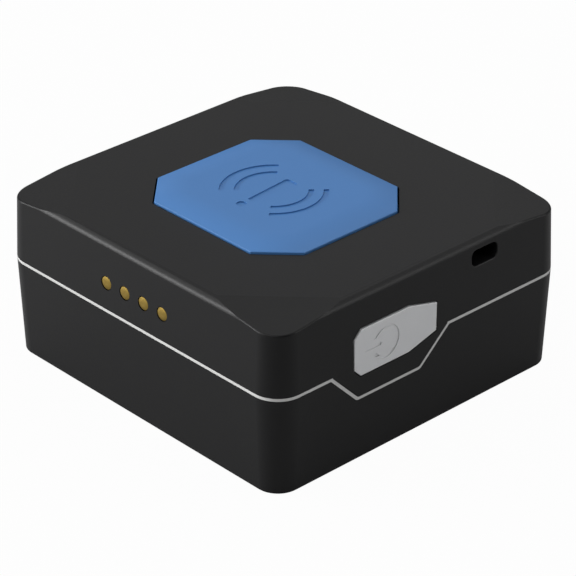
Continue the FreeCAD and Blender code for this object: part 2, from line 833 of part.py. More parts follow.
# Tactile switch under the alarm button
tact_top = board_top + size("tact_height")
tact_pocket = board_top + size("tact_floor")
plunger_gap = size("plunger_clearance")
tact_body = rounded_block("tact_block", size("tact_width"), size("tact_width"), size("tact_corner"),
                          (board_top, tact_top), y=alarm_y)
tact_well = cylinder("tact_well", size("tact_plunger_radius") + plunger_gap, 0, alarm_y, (tact_pocket, FAR))
node("sos_switch_body", cut("sos_switch_body", tact_body, tact_well))
node("sos_switch_plunger", cylinder(
    "sos_switch_plunger", size("tact_plunger_radius"), 0, alarm_y,
    (tact_pocket + size("alarm_travel") + size("stroke_spare"), tact_plunger_top)))

# Side switch behind the power key
edge_face = plunger_face - size("edge_plunger_stroke")
edge_x = (edge_face - size("edge_switch_length"), edge_face)
edge_pocket = edge_x[0] + size("edge_switch_back")
edge_block = box("edge_block", edge_x, centred(size("key_centre"), size("edge_switch_width")),
                 (board_top, board_top + size("edge_switch_height")))
edge_well = cylinder("edge_well", size("edge_plunger_radius") + plunger_gap,
                     (edge_pocket, edge_face + PAST), size("key_centre"), key_level, axis="x")
node("side_switch_body", cut("side_switch_body", edge_block, edge_well))
node("side_switch_plunger", cylinder(
    "side_switch_plunger", size("edge_plunger_radius"),
    (edge_pocket + size("stroke_spare") + size("key_travel"), plunger_face),
    size("key_centre"), key_level, axis="x"))

# Satellite patch antenna: ceramic, silvered top, feed pin down to the board. It stands beside a lane
# down the middle of the board, which is kept for the battery socket.
patch_half = size("patch_width") / 2
socket_lane = size("socket_width") / 2 + size("socket_side_gap")
patch_x = -(socket_lane + patch_half)
patch_y = board_y - size("patch_back_margin") - patch_half
patch_top = flange_bottom - size("alarm_travel") - size("patch_headroom")
feed_y = patch_y - size("feed_offset")
patch_block = rounded_block("patch_block", size("patch_width"), size("patch_width"), size("patch_corner"),
                            (board_top, patch_top), x=patch_x, y=patch_y)
feed_hole = cylinder("feed_hole", size("feed_radius") + plunger_gap, patch_x, feed_y, (0, FAR))
node("gnss_antenna_ceramic", cut("gnss_antenna_ceramic", patch_block, feed_hole))
electrode_width = size("patch_width") - size("electrode_margin")
electrode_z = (patch_top, patch_top + size("electrode_thickness"))
electrode = rounded_block("electrode_block", electrode_width, electrode_width, size("electrode_corner"),
                          electrode_z, x=patch_x, y=patch_y)
electrode_hole = cylinder("electrode_hole", size("feed_radius"), patch_x, feed_y, (0, FAR))
node("gnss_antenna_electrode", cut("gnss_antenna_electrode", electrode, electrode_hole))
pin_top = electrode_z[1] + size("feed_head_height")
pin = fuse(
    "gnss_feed_pin",
    cylinder("feed_stem", size("feed_radius"), patch_x, feed_y, (board_top, pin_top)),
    cylinder("feed_head", size("feed_head_radius"), patch_x, feed_y, (electrode_z[1], pin_top)))
node("gnss_feed_pin", pin)

# Mobile radio module under its sheet-metal shield, on the other side of the lane
sheet_metal = size("shield_sheet")
shield_rim = size("shield_gap") + sheet_metal
shield_width = size("modem_width") + shield_rim * 2
shield_depth = size("modem_depth") + shield_rim * 2
modem_x = socket_lane + shield_width / 2
modem_y = board_y - size("shield_back_margin") - shield_depth / 2
modem_z = (board_top, board_top + size("modem_thickness"))
node("modem_module", rounded_block("modem_module", size("modem_width"), size("modem_depth"),
                                   size("modem_corner"), modem_z, x=modem_x, y=modem_y))
shield_top = board_top + size("shield_height")
shield_can = rounded_block("shield_can", shield_width, shield_depth, size("shield_corner"),
                           (board_top, shield_top), x=modem_x, y=modem_y)
shield_room = rounded_block("shield_room", shield_width - sheet_metal * 2, shield_depth - sheet_metal * 2,
                            size("shield_corner") - sheet_metal, (board_top - PAST, shield_top - sheet_metal),
                            x=modem_x, y=modem_y)
node("modem_shield", cut("modem_shield", shield_can, shield_room))

# Short-range radio module, loose chips and the mobile antenna on the left wall
radio_x = size("radio_side_margin") + size("radio_width") / 2 - board_x
radio_y = size("radio_front_margin") + size("radio_depth") / 2 - board_y
node("bluetooth_module", rounded_block(
    "bluetooth_module", size("radio_width"), size("radio_depth"), size("radio_corner"),
    (board_top, board_top + size("radio_height")), x=radio_x, y=radio_y))


def chip(name, x, y, width, depth):
    return box(name, centred(x, width), centred(y, depth), (board_top, board_top + size("chip_height")))


node("board_chips", fuse(
    "board_chips",
    chip("processor", size("processor_across"), size("processor_back"),
         size("processor_width"), size("processor_width")),
    chip("charger", size("charger_across"), size("processor_back"),
         size("charger_width"), size("charger_depth")),
    chip("memory", 0, size("memory_back"), size("memory_width"), size("memory_depth")),
    chip("sensor", size("sensor_across"), size("sensor_back"), size("sensor_width"), size("sensor_depth"))))
node("cellular_antenna", box(
    "cellular_antenna", (-inner_x, size("antenna_sheet") - inner_x), centred(0, size("antenna_length")),
    centred((board_top + ceiling) / 2, size("antenna_height"))))

# Vibration motor: a flat can on a base, with an off-centre weight on a fixed shaft
motor_x = board_x - size("motor_side_margin") - size("motor_radius")
motor_y = size("motor_front_margin") + size("motor_radius") - board_y
motor_top = board_top + size("motor_height")
skin = size("motor_sheet")
base_top = board_top + skin
motor_room = size("motor_radius") - skin
node("motor_case", cut(
    "motor_case",
    cylinder("motor_can", size("motor_radius"), motor_x, motor_y, (board_top, motor_top)),
    cylinder("motor_room", motor_room, motor_x, motor_y, (board_top - PAST, motor_top - skin))))
node("motor_base", cylinder("motor_base", motor_room, motor_x, motor_y, (board_top, base_top)))
node("motor_shaft", cylinder("motor_shaft", size("motor_shaft_radius"), motor_x, motor_y,
                             (base_top, motor_top - skin)))
rotor_z = (base_top + size("rotor_gap"), base_top + size("rotor_gap") + size("rotor_thickness"))
weight = cylinder("rotor_weight", motor_room - size("rotor_gap"), motor_x, motor_y, rotor_z, sweep=180)
hub = cylinder("rotor_hub", size("rotor_hub_radius"), motor_x, motor_y, rotor_z)
rotor_bore = cylinder("rotor_bore", size("motor_shaft_radius") + size("rotor_bore_gap"), motor_x, motor_y,
                      (0, FAR))
node("motor_rotor", cut("motor_rotor", fuse("rotor_blank", weight, hub), rotor_bore))

# Card holder and card on the underside of the board
holder_x = centred(0, size("card_length") + size("holder_wall") * 2)
holder_y = centred(0, size("card_width") + size("holder_wall") * 2)
holder_bottom = board_bottom - size("holder_height")
card_z = (holder_bottom + size("holder_sheet") + size("card_gap") / 2,
          holder_bottom + size("holder_sheet") + size("card_gap") / 2 + size("card_thickness"))
holder_block = box("holder_block", holder_x, holder_y, (holder_bottom, board_bottom))
card_room = box("card_room", (-FAR, size("card_length") / 2 + size("card_gap")),
                centred(0, size("card_width") + size("card_gap") * 2),
                (holder_bottom + size("holder_sheet"), card_z[1] + size("card_gap") / 2))
node("sim_holder", cut("sim_holder", holder_block, card_room))
card = prism("sim_card", "XY_Plane", [
    (-size("card_length") / 2, -size("card_width") / 2),
    (size("card_length") / 2, -size("card_width") / 2),
    (size("card_length") / 2, size("card_width") / 2 - size("card_corner_cut")),
    (size("card_length") / 2 - size("card_corner_cut"), size("card_width") / 2),
    (-size("card_length") / 2, size("card_width") / 2),
], card_z[0], size("card_thickness"))
node("sim_card", card)

# Battery on its foam pad, with its protection board, leads, plug and socket
cell_width = (pillar_x - size("pillar_radius") - size("battery_pillar_gap")) * 2
cell_y = (size("battery_front_gap") - inner_y, inner_y - size("battery_back_gap"))
cell_length = cell_y[1] - cell_y[0]
cell_middle = (cell_y[0] + cell_y[1]) / 2
pad_top = floor + size("pad_thickness")
cell_z = (pad_top, holder_bottom - size("battery_headroom"))
cell_level = (cell_z[0] + cell_z[1]) / 2
node("battery_pad", rounded_block("battery_pad", cell_width - size("pad_side_inset") * 2,
                                  cell_length - size("pad_end_inset") * 2, size("pad_corner"),
                                  (floor, pad_top), y=cell_middle))
node("battery_cell", rounded_block("battery_cell", cell_width, cell_length, size("battery_edge"),
                                   cell_z, y=cell_middle))
guard_y = (cell_y[1], cell_y[1] + size("guard_thickness"))
node("battery_protection_board", box("battery_protection_board", centred(0, size("guard_width")), guard_y,
                                     centred(cell_level, size("guard_height"))))
plug_back = board_y - size("plug_edge_gap")
plug_y = (plug_back - size("plug_length"), plug_back)
plug_bottom = board_top + (size("socket_height") - size("plug_height")) / 2
plug_level = plug_bottom + size("plug_height") / 2
socket_back = plug_back - size("plug_show")
socket_y = (socket_back - size("socket_length"), socket_back)
plug_slack = size("plug_clearance")
socket_block = box("socket_block", centred(0, size("socket_width")), socket_y,
                   (board_top, board_top + size("socket_height")))
socket_room = box("socket_room", centred(0, size("plug_width") + plug_slack * 2),
                  (plug_y[0] - plug_slack, FAR),
                  (plug_bottom - plug_slack, plug_bottom + size("plug_height") + plug_slack))
node("battery_socket", cut("battery_socket", socket_block, socket_room))
node("battery_plug", box("battery_plug", centred(0, size("plug_width")), plug_y,
                         (plug_bottom, plug_bottom + size("plug_height"))))


def lead(name, x):
    """A bent lead from the protection board up past the board's edge and back into the plug."""
    wall = inner_y - size("lead_wall_gap") - size("lead_radius")
    bend = size("lead_bend").value
    start = Vector(x.value, guard_y[1].value, cell_level.value)
    low = Vector(x.value, wall.value, cell_level.value)
    high = Vector(x.value, wall.value, plug_level.value)
    end = Vector(x.value, plug_y[1].value, plug_level.value)
    across = Vector(0, bend, 0)
    rise = Vector(0, 0, bend)
    corner = bend * (1 - math.sqrt(0.5))
    shoulder = Vector(0, corner, 0)
    lift = Vector(0, 0, corner)
    path = Part.Wire([
        Part.LineSegment(start, low - across).toShape(),
        Part.Arc(low - across, low - shoulder + lift, low + rise).toShape(),
        Part.LineSegment(low + rise, high - rise).toShape(),
        Part.Arc(high - rise, high - lift - shoulder, high - across).toShape(),
        Part.LineSegment(high - across, end).toShape(),
    ])
    circle = Part.Wire([Part.Circle(start, Vector(0, 1, 0), size("lead_radius").value).toShape()])
    item = doc.addObject("Part::Feature", name)
    item.Shape = path.makePipeShell([circle], True, False)
    print(name, "length", round(path.Length, 2), "bend radius", bend)
    return item


node("battery_lead_red", lead("battery_lead_red", size("lead_pitch") / 2))
node("battery_lead_black", lead("battery_lead_black", -size("lead_pitch") / 2))

# Check and write every sub-part
doc.recompute()
failed = [item.Name for item in doc.Objects if "Invalid" in item.State or "Error" in item.State]
if failed:
    raise RuntimeError("failed objects: " + ", ".join(failed))
for name, item in NODES.items():
    if item.Shape.isNull() or not item.Shape.isValid():
        raise RuntimeError("bad shape: " + name)
os.makedirs("parts", exist_ok=True)
for name, item in NODES.items():
    item.Shape.exportStep(f"parts/{name}.step")
    bounds = item.Shape.BoundBox
    print(f"{name:26s} solids {len(item.Shape.Solids)} volume {item.Shape.Volume:9.2f}",
          [round(value, 2) for value in (bounds.XMin, bounds.XMax, bounds.YMin, bounds.YMax,
                                         bounds.ZMin, bounds.ZMax)])
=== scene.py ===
# %% [markdown]
# # A pocket GPS tracker
# The object is a small black plastic box with a blue alarm button on top, a silver power key in one
# side and four gold charging contacts in another. A pale silicone seal runs round the seam between
# its two shells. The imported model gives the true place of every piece. This lesson models the pieces
# that show again as clean meshes with soft edges, and gives each piece the finish of its material.

import math

import bmesh
import bpy
from mathutils import Matrix, Vector


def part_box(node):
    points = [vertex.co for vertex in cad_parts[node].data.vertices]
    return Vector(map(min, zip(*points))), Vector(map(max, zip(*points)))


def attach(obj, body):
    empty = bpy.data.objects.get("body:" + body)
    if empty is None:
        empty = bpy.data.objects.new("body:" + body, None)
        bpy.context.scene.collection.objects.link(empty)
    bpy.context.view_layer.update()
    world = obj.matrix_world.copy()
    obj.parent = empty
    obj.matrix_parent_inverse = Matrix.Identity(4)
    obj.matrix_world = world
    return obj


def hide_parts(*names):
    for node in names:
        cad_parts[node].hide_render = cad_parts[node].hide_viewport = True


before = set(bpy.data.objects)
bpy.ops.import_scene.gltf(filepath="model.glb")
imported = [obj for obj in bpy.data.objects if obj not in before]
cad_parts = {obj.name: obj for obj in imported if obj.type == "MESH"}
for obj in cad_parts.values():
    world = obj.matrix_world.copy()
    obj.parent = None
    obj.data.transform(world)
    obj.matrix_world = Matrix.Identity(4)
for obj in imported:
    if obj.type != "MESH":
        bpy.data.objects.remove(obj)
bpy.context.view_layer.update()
MM = 0.001
print("pieces of the packed model:", len(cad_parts))

# %% [markdown]
# ## Selecting in code
# An operator acts on all that is selected, so every helper starts from a clear selection. Faces and
# edges are picked by a test on their place or their normal, as a hand would pick them on the screen.

# %% Helpers for selecting
# A point this close to a level or a wall lies on it.
NEAR = 0.01 * MM
# A face counts as facing along an axis when its normal reaches this far along it.
FACING = 0.9


def activate(piece):
    """Select this piece alone, in object mode."""
    if bpy.context.mode != "OBJECT":
        bpy.ops.object.mode_set(mode="OBJECT")
    bpy.ops.object.select_all(action="DESELECT")
    piece.select_set(True)
    bpy.context.view_layer.objects.active = piece


def pick(piece, kind, test):
    """Enter edit mode with only those vertices, edges or faces selected that pass the test."""
    activate(piece)
    bpy.ops.object.mode_set(mode="EDIT")
    bpy.ops.mesh.select_mode(type=kind)
    bpy.ops.mesh.select_all(action="DESELECT")
    mesh = bmesh.from_edit_mesh(piece.data)
    items = {"VERT": mesh.verts, "EDGE": mesh.edges, "FACE": mesh.faces}[kind]
    found = [item for item in items if test(item)]
    for item in found:
        item.select_set(True)
    bmesh.update_edit_mesh(piece.data)
    return len(found)


def everything(item):
    """A test that every vertex, edge and face passes."""
    return True


def at_level(level):
    """A test for edges that lie at one height."""
    return lambda edge: all(abs(vertex.co.z - level) < NEAR for vertex in edge.verts)


def rises_by(height):
    """A test for edges whose two ends differ in height by more than this."""
    return lambda edge: abs(edge.verts[0].co.z - edge.verts[1].co.z) > height


def close_edit():
    bpy.ops.object.mode_set(mode="OBJECT")


# %% [markdown]
# ## Primitives
# Each form starts from a cube, a plane or a cylinder that is added at its size and place. The place
# is applied at once, so that each piece keeps it in its own mesh.

# %% Helpers for primitives


def settle(name):
    """Name the new primitive and put its place in its mesh."""
    piece = bpy.context.active_object
    piece.name = name
    bpy.ops.object.transform_apply(location=True, rotation=True, scale=True)
    return piece


def block(name, low, high):
    """A box between its lowest and highest corners."""
    low, high = Vector(low), Vector(high)
    bpy.ops.mesh.primitive_cube_add(size=1, location=(low + high) / 2, scale=high - low)
    return settle(name)


def plate(name, centre, width, height, tip=0.0, turn=0.0):
    """One flat face: tipped about X so that it stands up, then turned about Z."""
    bpy.ops.mesh.primitive_plane_add(size=1, location=centre, rotation=(tip, 0, turn))
    bpy.context.active_object.scale = (width, height, 1)
    return settle(name)


def rod(name, radius, low, high, sides=48):
    """A round bar along the axis in which its two ends differ."""
    low, high = Vector(low), Vector(high)
    run = high - low
    turn = run.to_track_quat("Z", "Y").to_euler()
    bpy.ops.mesh.primitive_cylinder_add(vertices=sides, radius=radius, depth=run.length,
                                        location=(low + high) / 2, rotation=turn)
    return settle(name)


# %% [markdown]
# ## Combining forms
# A moulded shell is easiest to get right by cutting: one form is taken from another, as an opening
# is by the tool that shapes it. The exact Boolean keeps the cut's edges true. Each finished piece is
# measured, because a closed skin and a volume that makes sense show that no cut went wrong.

# %% Helpers for combining and measuring


def combine(piece, tool, how="DIFFERENCE"):
    """Cut a tool out of a piece, join them, or keep what they share. The tool is used up."""
    activate(piece)
    step = piece.modifiers.new("combine", "BOOLEAN")
    step.operation = how
    step.solver = "EXACT"
    step.object = tool
    bpy.ops.object.modifier_apply(modifier=step.name)
    bpy.data.objects.remove(tool)
    return piece


def twin(piece, name):
    """A copy with its own mesh."""
    copy = piece.copy()
    copy.data = piece.data.copy()
    copy.name = name
    bpy.context.scene.collection.objects.link(copy)
    return copy


def soften(piece, angle=12):
    """Shade gentle bends smooth, and let the large flat faces keep their true normal."""
    activate(piece)
    bpy.ops.object.shade_smooth_by_angle(angle=math.radians(angle))
    step = piece.modifiers.new("even_normals", "WEIGHTED_NORMAL")
    step.keep_sharp = True
    bpy.ops.object.modifier_apply(modifier=step.name)
    return piece


def measure(piece):
    """Print a mesh's faces, open edges, volume and box in millimetres."""
    mesh = bmesh.new()
    mesh.from_mesh(piece.data)
    open_edges = sum(not edge.is_manifold for edge in mesh.edges)
    spans = [[round(end(vertex.co[axis] for vertex in mesh.verts) / MM, 2) for axis in range(3)]
             for end in (min, max)]
    print(piece.name, len(mesh.faces), "faces,", open_edges, "open edges,",
          round(mesh.calc_volume(signed=True) / MM ** 3, 1), "mm3, box", spans)
    mesh.free()


# %% [markdown]
# ## Sizes
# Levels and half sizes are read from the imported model. The few that it can't tell, such as edge
# rounds, are named here in millimetres.

# %% Sizes of the case
seal_low, seal_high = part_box("seam_seal")
half_width = seal_high.x
half_depth = seal_high.y
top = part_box("upper_case")[1].z
seal_thickness = 0.35 * MM
seam = seal_high.z - seal_thickness / 2
step_depth = seam - seal_thickness / 2 - seal_low.z
side_wall = 1.6 * MM
inner_x = half_width - side_wall
inner_y = half_depth - side_wall
floor_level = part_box("battery_pad")[0].z
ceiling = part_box("sos_button_seal")[1].z
board_bottom, board_top = (corner.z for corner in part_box("main_board"))
corner_round = 3.2 * MM
upper_draft = math.radians(2.4)
lower_draft = math.radians(2.3)
far = 4 * half_width
print("case", [round(value / MM, 2) for value in (half_width * 2, half_depth * 2, top)])

# %% [markdown]
# ## The case's outer form
# The real shells are moulded, so their walls lean in by a little more than two degrees, away from
# the seam, to leave the mould. An inset that also moves the face along its normal gives just that
# wall: it shrinks the outline by the same amount all round while it raises it. The top's four
# corners are trimmed by shallow planes. Their rims are rounded before the top's own edge round is
# put on, by cutting each plane a little too deep and raising the facet again in small insets.

# %% Block with leaning walls


def drafted_block(name, low, high):
    """The case's plan at the seam, drawn in by the draft towards both ends."""
    piece = plate(name, (0, 0, seam), half_width * 2, half_depth * 2)
    pick(piece, "VERT", everything)
    bpy.ops.mesh.bevel(offset=corner_round, segments=16, affect="VERTICES")
    pick(piece, "FACE", everything)
    rise = high - seam
    bpy.ops.mesh.inset(thickness=rise * math.tan(upper_draft), depth=rise)
    pick(piece, "EDGE", lambda edge: edge.is_boundary)
    bpy.ops.mesh.edge_face_add()
    bpy.ops.mesh.select_all(action="SELECT")
    bpy.ops.mesh.normals_make_consistent(inside=False)
    pick(piece, "FACE", lambda face: face.normal.z < -FACING)
    drop = seam - low
    bpy.ops.mesh.inset(thickness=drop * math.tan(lower_draft), depth=drop)
    close_edit()
    return piece


spare = 0.9 * MM
outer = drafted_block("outer_form", -spare, top + spare)
measure(outer)

# %% Corner facets with rounded rims
facet_reach = 22.77 * MM
facet_tilt = math.radians(9)
rim_round = 0.25 * MM
CUT_SLACK = 0.0001 * MM


def round_up(radius, steps):
    """Raise the selected faces by radius, with a quarter round along their outline."""
    for index in range(steps):
        before, after = (math.pi / 2 * step / steps for step in (index, index + 1))
        bpy.ops.mesh.inset(thickness=radius * (math.cos(before) - math.cos(after)),
                           depth=radius * (math.sin(after) - math.sin(before)))


for turn in (45, 135, 225, 315):
    outward = Vector((math.cos(math.radians(turn)), math.sin(math.radians(turn)), 0))
    slope = outward * math.sin(facet_tilt) + Vector((0, 0, math.cos(facet_tilt)))
    pick(outer, "FACE", everything)
    bpy.ops.mesh.bisect(plane_co=outward * facet_reach + Vector((0, 0, top)) - slope * rim_round,
                        plane_no=slope, clear_outer=True, use_fill=True, threshold=CUT_SLACK)
facets = pick(outer, "FACE", lambda face: abs(face.normal.z - math.cos(facet_tilt)) < 0.001)
round_up(rim_round, 8)
close_edit()
print("facets:", facets)

# %% [markdown]
# A second block gets the rounds of the top and bottom edges, which a bevel gives at once. What both
# forms share is the case: facets that cut cleanly through the rounded top edge. The second block is
# a hair wider, because two walls in the very same place would leave the Boolean nothing to choose by.

# %% Rounded edges
top_edge_round = 0.92 * MM
bottom_edge_round = 0.15 * MM
a_hair_wider = 1.0001
rounded = drafted_block("rounded_form", 0, top)
for level, radius, draft, segments in ((top, top_edge_round, upper_draft, 14),
                                       (0, bottom_edge_round, lower_draft, 5)):
    pick(rounded, "EDGE", at_level(level))
    run = radius * math.tan((math.pi / 2 - draft) / 2)
    bpy.ops.mesh.bevel(offset=run, segments=segments, affect="EDGES")
bpy.ops.mesh.select_all(action="SELECT")
bpy.ops.transform.resize(value=(a_hair_wider, a_hair_wider, 1), center_override=(0, 0, 0))
close_edit()
combine(outer, rounded, "INTERSECT")
measure(outer)

# %% [markdown]
# ## Seam and shells
# The seam steps down round the power key. One region, everything above the stepped seam, is enough
# to part the form three ways: moved up by half the seal it bounds the upper shell, moved down it
# bounds the lower shell, and what lies between is the seal. Three pieces drawn one by one could look
# the same, but cut from one form their faces stay true to each other.

# %% Region above the stepped seam
step_front = -13.72 * MM
step_front_run = 3.9 * MM
step_bottom = 9.2 * MM
step_back_run = 4.1 * MM
step_back = step_front + step_front_run + step_bottom + step_back_run
step_corner_round = 0.22 * MM


def above_seam(name, shift):
    """All that lies above the seam line moved up by shift, with the tongue that the step lets down."""
    level = seam + shift
    front_lean, back_lean = ((math.hypot(run, step_depth) - run) / step_depth * shift
                             for run in (step_front_run, step_back_run))
    front = step_front + front_lean
    back = step_back - back_lean
    tongue = block(name + "_tongue", (inner_x - MM, front, level - step_depth), (far, back, level))
    for side, run in ((front, step_front_run), (back, -step_back_run)):
        pick(tongue, "VERT", lambda vertex: vertex.co.z < level - NEAR and abs(vertex.co.y - side) < NEAR)
        bpy.ops.transform.translate(value=(0, run, 0))
    close_edit()

    def at_step_corner(edge):
        """Edges along X where the seam bends, and not those of the block's far rim."""
        start, end = (vertex.co for vertex in edge.verts)
        along_x = abs(start.y - end.y) < NEAR / 10 and abs(start.z - end.z) < NEAR / 10
        on_seam = abs(start.y) < half_depth and start.z < level + NEAR
        return along_x and on_seam and edge.is_manifold and edge.calc_face_angle() > math.radians(20)

    region = block(name, (-far, -far, level), (far, far, far))
    combine(region, tongue, "UNION")
    pick(region, "EDGE", at_step_corner)
    bpy.ops.mesh.bevel(offset=step_corner_round, segments=4, affect="EDGES")
    close_edit()
    return region


print("step runs from", round(step_front / MM, 2), "to", round(step_back / MM, 2), "mm")

# %% [markdown]
# The room inside the shells is a block with rounded corners. The pillars that take the screws are
# left standing by taking them out of the room before the room is cut from the form. The lanyard's
# duct, a bent bar round the back corner, is left standing in the same way.

# %% Room inside the shells
pillar_inset = 2.3 * MM
pillar_x = inner_x - pillar_inset
pillar_y = inner_y - pillar_inset
pillar_radius = 2.5 * MM
corner_places = [(pillar_x * side_x, pillar_y * side_y) for side_x in (-1, 1) for side_y in (-1, 1)]


def void(name, low, high):
    """The room between floor and ceiling, without the pillars from low to high."""
    room = block(name, (-inner_x, -inner_y, floor_level), (inner_x, inner_y, ceiling))
    pick(room, "EDGE", rises_by(MM))
    bpy.ops.mesh.bevel(offset=corner_round - side_wall, segments=8, affect="EDGES")
    close_edit()
    for x, y in corner_places:
        combine(room, rod("post", pillar_radius, (x, y, low), (x, y, high)))
    return room


upper_void = void("upper_void", board_top, ceiling + MM)
print("room with its pillars:", len(upper_void.data.polygons), "faces")

# %% Lanyard duct
lanyard_height = 1.9 * MM
lanyard_width = 3.9 * MM
lanyard_bend = 12.5 * MM
lanyard_level = seam + 6.1 * MM
lanyard_low = lanyard_level - lanyard_height / 2
lanyard_high = lanyard_level + lanyard_height / 2
lanyard_round = 0.7 * MM
lanyard_wall = 0.8 * MM
MERGE_DISTANCE = 0.0005 * MM


def swept_bar(name, centre, radius, width, height, start, sweep, steps, edge_round=0.0):
    """A bar bent round an upright axis through centre, from the angle start, anticlockwise by sweep."""
    outward = Vector((math.cos(start), math.sin(start), 0))
    piece = plate(name, Vector(centre) + outward * radius, width, height, tip=math.pi / 2, turn=start)
    if edge_round:
        pick(piece, "VERT", everything)
        bpy.ops.mesh.bevel(offset=edge_round, segments=6, affect="VERTICES")
    pick(piece, "FACE", everything)
    bpy.ops.mesh.spin(steps=steps, angle=-sweep, center=centre, axis=(0, 0, 1))
    bpy.ops.mesh.select_all(action="SELECT")
    bpy.ops.mesh.remove_doubles(threshold=MERGE_DISTANCE)
    bpy.ops.mesh.normals_make_consistent(inside=False)
    close_edit()
    return piece


def corner_sweep(name, half_across, low, high, edge_round=0.0):
    """A bar bent round the case's back right corner, with its ends outside both walls."""
    overrun = math.radians(10)
    return swept_bar(name, (half_width, half_depth, (low + high) / 2), lanyard_bend, half_across * 2,
                     high - low, math.pi - overrun, math.pi / 2 + 2 * overrun, 44, edge_round)


combine(upper_void, corner_sweep("duct", lanyard_width / 2 + lanyard_wall,
                                 lanyard_low - lanyard_wall, ceiling + MM))
lower_void = void("lower_void", floor_level - MM, board_bottom)
print("rooms:", len(upper_void.data.polygons), "and", len(lower_void.data.polygons), "faces")

# %% Part the form into upper shell, lower shell and seal
half_seal = seal_thickness / 2
seal_recess = 0.01 * MM
lower_shell = combine(twin(outer, "lower_shell"), lower_void)
combine(lower_shell, above_seam("below_edge", -half_seal))
seal_room = block("seal_room", (-inner_x, -inner_y, 0), (inner_x, inner_y, top))
seam_line = combine(twin(outer, "seam_line"), seal_room)
combine(seam_line, above_seam("seal_lower", -half_seal), "INTERSECT")
combine(seam_line, above_seam("seal_upper", half_seal))
pick(seam_line, "VERT", everything)
shrink = 1 - seal_recess / half_width
bpy.ops.transform.resize(value=(shrink, shrink, 1), center_override=(0, 0, 0))
close_edit()
upper_shell = combine(outer, upper_void)
upper_shell.name = "upper_shell"
combine(upper_shell, above_seam("above_edge", half_seal), "INTERSECT")
for piece in (upper_shell, lower_shell, seam_line):
    measure(piece)

# %% [markdown]
# ## Alarm button
# The button is an eight-sided cap. Its rim is rounded, and from there the surface rises in a low
# crown that flattens towards the middle, which is why its edges catch the light. A fine grid pushed
# up in the middle could give such a crown, but it blurs the eight sides. A row of insets keeps them:
# each one moves in by a step and up by the crown's rise over that step.

# %% Button form
alarm_low, alarm_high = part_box("sos_button")
alarm_width = 23.4 * MM
alarm_depth = 21.7 * MM
alarm_corner = 4.0 * MM
alarm_y = (alarm_low.y + alarm_high.y) / 2
alarm_edge = top + 0.2 * MM
alarm_edge_round = 0.1 * MM
crown_width = 3.5 * MM
crown_rise = alarm_high.z - alarm_edge
post_radius = 1.5 * MM
joined = 0.2 * MM
flange_lip = 0.8 * MM
flange_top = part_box("sos_button_seal")[0].z
flange_bottom = flange_top - 0.7 * MM


def octagon(name, grow, low, high):
    """A block with its four upright corners cut off, grown by the same amount on every side."""
    half = Vector((alarm_width / 2 + grow, alarm_depth / 2 + grow, 0))
    middle = Vector((0, alarm_y, 0))
    piece = block(name, middle - half + Vector((0, 0, low)), middle + half + Vector((0, 0, high)))
    pick(piece, "EDGE", rises_by((high - low) / 2))
    bpy.ops.mesh.bevel(offset=alarm_corner + grow * (2 - math.sqrt(2)), segments=1, affect="EDGES")
    close_edit()
    return piece


def crown_up(width, rise, steps):
    """Raise the selected faces in a low curve that ends level, over this width from their outline."""
    for index in range(steps):
        before, after = (1 - step / steps for step in (index, index + 1))
        bpy.ops.mesh.inset(thickness=width / steps, depth=rise * (before ** 2 - after ** 2))


alarm_cap = octagon("alarm_cap", 0, flange_bottom, alarm_edge - alarm_edge_round)
pick(alarm_cap, "FACE", lambda face: face.normal.z > FACING)
round_up(alarm_edge_round, 4)
crown_up(crown_width, crown_rise, 10)
close_edit()
combine(alarm_cap, octagon("flange", flange_lip, flange_bottom, flange_top), "UNION")
post = rod("post", post_radius, (0, alarm_y, alarm_low.z), (0, alarm_y, flange_bottom + joined))
combine(alarm_cap, post, "UNION")
measure(alarm_cap)

# %% [markdown]
# The alarm sign is engraved, and a bump in the material would lose the dark side of its grooves. So
# it is cut by small bars that reach a little way into the crown. Its arcs are bars spun about the
# sign's centre, and its stroke is a block drawn in at the foot.

# %% Engraved alarm sign
sign = Vector((-0.2 * MM, alarm_y - 0.18 * MM, alarm_high.z))
sign_depth = 0.14 * MM
arc_radii = (5.7 * MM, 4.05 * MM)
arc_width = 0.6 * MM
arc_half_angle = math.radians(48)
stroke_top = 2.85 * MM
stroke_bottom = -3.5 * MM
stroke_wide = 0.95 * MM
stroke_narrow = 0.35 * MM
dot_radius = 0.57 * MM
dot_drop = 4.75 * MM

for facing in (0, math.pi):
    for radius in arc_radii:
        combine(alarm_cap, swept_bar("arc", sign, radius, arc_width, sign_depth * 2,
                                     facing - arc_half_angle, arc_half_angle * 2, 40))
stroke = block("stroke", sign + Vector((-stroke_wide, stroke_bottom, -sign_depth)),
               sign + Vector((stroke_wide, stroke_top, sign_depth)))
pick(stroke, "VERT", lambda vertex: vertex.co.y < sign.y)
bpy.ops.transform.resize(value=(stroke_narrow / stroke_wide, 1, 1), center_override=sign)
pick(stroke, "EDGE", lambda edge: rises_by(sign_depth)(edge) and edge.verts[0].co.y > sign.y)
bpy.ops.mesh.bevel(offset=stroke_wide / 2, segments=4, affect="EDGES")
close_edit()
combine(alarm_cap, stroke)
dot = sign + Vector((0, -dot_drop, 0))
reach = Vector((0, 0, sign_depth))
combine(alarm_cap, rod("dot", dot_radius, dot - reach, dot + reach, 32))
soften(alarm_cap)
measure(alarm_cap)

# %% [markdown]
# ## Power key
# The key is a flat silver plate with a blunt front and a long taper at its back. Planes cut the
# outline out of a block, and the same planes, moved out by the running gap, cut the opening in the
# shell. Its outer edge is rounded, and the power sign is a ring with a gap and a bar.

